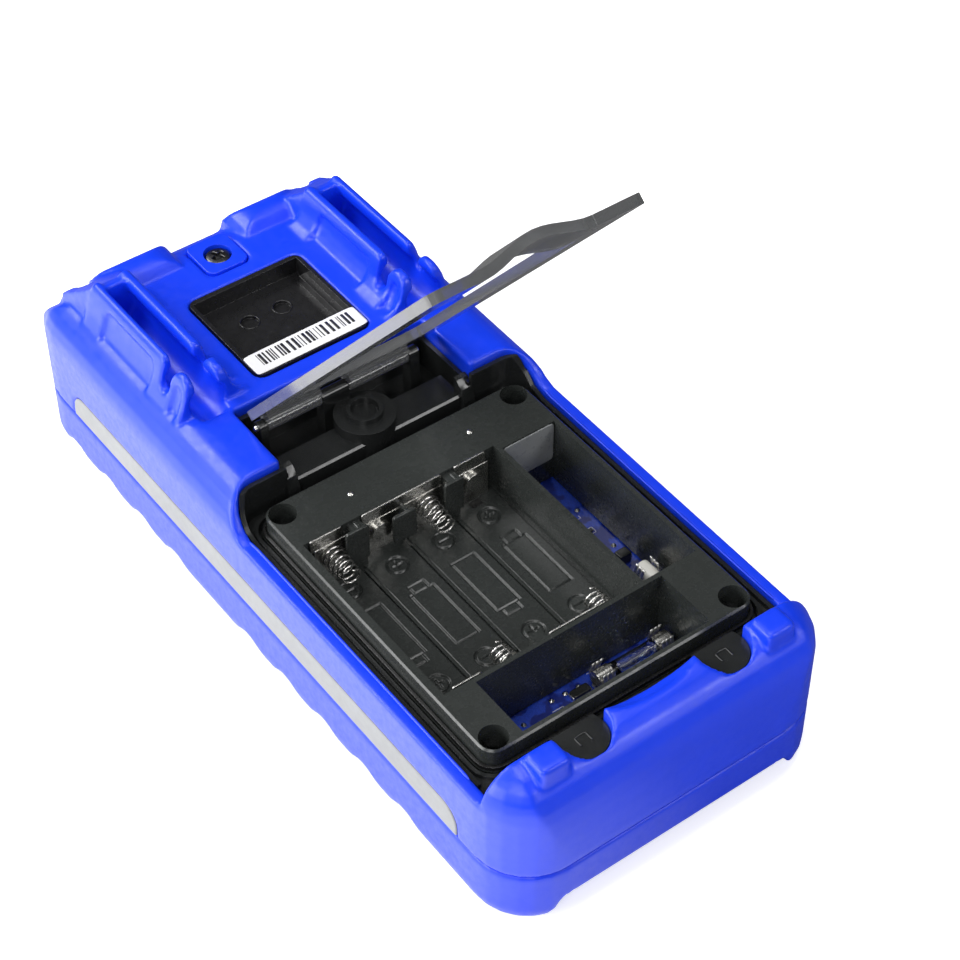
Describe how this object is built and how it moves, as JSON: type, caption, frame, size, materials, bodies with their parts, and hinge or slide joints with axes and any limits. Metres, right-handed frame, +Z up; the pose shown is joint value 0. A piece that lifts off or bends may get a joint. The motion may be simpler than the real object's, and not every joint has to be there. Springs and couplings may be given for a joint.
{
  "type": "digital multimeter",
  "caption": "Handheld digital multimeter lying on its face, tilt stand raised, battery door off: open battery tray, fuse bays, probe holders, pocket and sunk face.",
  "frame": {"origin": "centre of the bounding box at the plane the meter's face rim lies on", "axes": "+Z up out of the meter's back, +Y to its display end, +X to the side with the second fuse slot"},
  "size_m": [0.1048, 0.2384, 0.1616],
  "materials": {
    "blue_rubber": "soft satin",
    "grey_rubber": "matt",
    "black_plastic": "fine matt texture",
    "black_rubber": "matt",
    "circuit_board": "blue solder mask",
    "contact_metal": "plated",
    "fuse_glass": "clear",
    "fuse_ceramic": "smooth ceramic",
    "stand_plastic": "semi-gloss",
    "face_plastic": "matt",
    "lens_plastic": "polished",
    "key_rubber": "matt",
    "red_plastic": "satin"
  },
  "bodies": {
    "case": {"back_shell": "blue_rubber", "front_shell": "blue_rubber", "screw_cover": "blue_rubber", "side_strip_left": "grey_rubber", "side_strip_right": "grey_rubber", "inner_case": "black_plastic", "battery_tray": "black_plastic", "top_pocket": "black_plastic", "seal_ring": "black_rubber", "circuit_board": "circuit_board", "contact_top_1": "contact_metal", "contact_top_2": "contact_metal", "contact_top_3": "contact_metal", "contact_bottom_1": "contact_metal", "contact_bottom_2": "contact_metal", "spring_1": "contact_metal", "spring_2": "contact_metal", "spring_3": "contact_metal", "spring_4": "contact_metal", "fuse_main": "fuse_glass", "fuse_main_cap_1": "contact_metal", "fuse_main_cap_2": "contact_metal", "fuse_main_clip_1": "contact_metal", "fuse_main_clip_2": "contact_metal", "fuse_second": "fuse_ceramic", "fuse_second_clip": "contact_metal", "face_plate": "face_plastic", "display_lens": "lens_plastic", "lcd_module": "lens_plastic", "input_jack_1": "red_plastic", "input_jack_2": "red_plastic", "input_jack_3": "black_plastic", "input_jack_4": "red_plastic"},
    "stand": {"stand": "stand_plastic"},
    "knob": {"rotary_knob": "black_plastic"},
    "key_1": {"button_1": "key_rubber"},
    "key_2": {"button_2": "key_rubber"},
    "key_3": {"button_3": "key_rubber"},
    "key_4": {"button_4": "key_rubber"},
    "key_5": {"button_5": "key_rubber"},
    "key_6": {"button_6": "key_rubber"}
  },
  "joints": [
    {"name": "stand_hinge", "type": "hinge", "parent": "case", "child": "stand", "pos_m": [0, 0.02825, 0.051], "axis": [1, 0, 0], "range_deg": [-35, 50]},
    {"name": "knob_turn", "type": "hinge", "parent": "case", "child": "knob", "pos_m": [0, -0.01975, 0.01], "axis": [0, 0, 1], "range_deg": [-150, 150]},
    {"name": "key_press_1", "type": "slide", "parent": "case", "child": "key_1", "axis": [0, 0, 1], "range_m": [0, 0.0015], "stiffness_N_per_m": 800},
    {"name": "key_press_2", "type": "slide", "parent": "case", "child": "key_2", "axis": [0, 0, 1], "range_m": [0, 0.0015], "stiffness_N_per_m": 800},
    {"name": "key_press_3", "type": "slide", "parent": "case", "child": "key_3", "axis": [0, 0, 1], "range_m": [0, 0.0015], "stiffness_N_per_m": 800},
    {"name": "key_press_4", "type": "slide", "parent": "case", "child": "key_4", "axis": [0, 0, 1], "range_m": [0, 0.0015], "stiffness_N_per_m": 800},
    {"name": "key_press_5", "type": "slide", "parent": "case", "child": "key_5", "axis": [0, 0, 1], "range_m": [0, 0.0015], "stiffness_N_per_m": 800},
    {"name": "key_press_6", "type": "slide", "parent": "case", "child": "key_6", "axis": [0, 0, 1], "range_m": [0, 0.0015], "stiffness_N_per_m": 800}
  ]
}
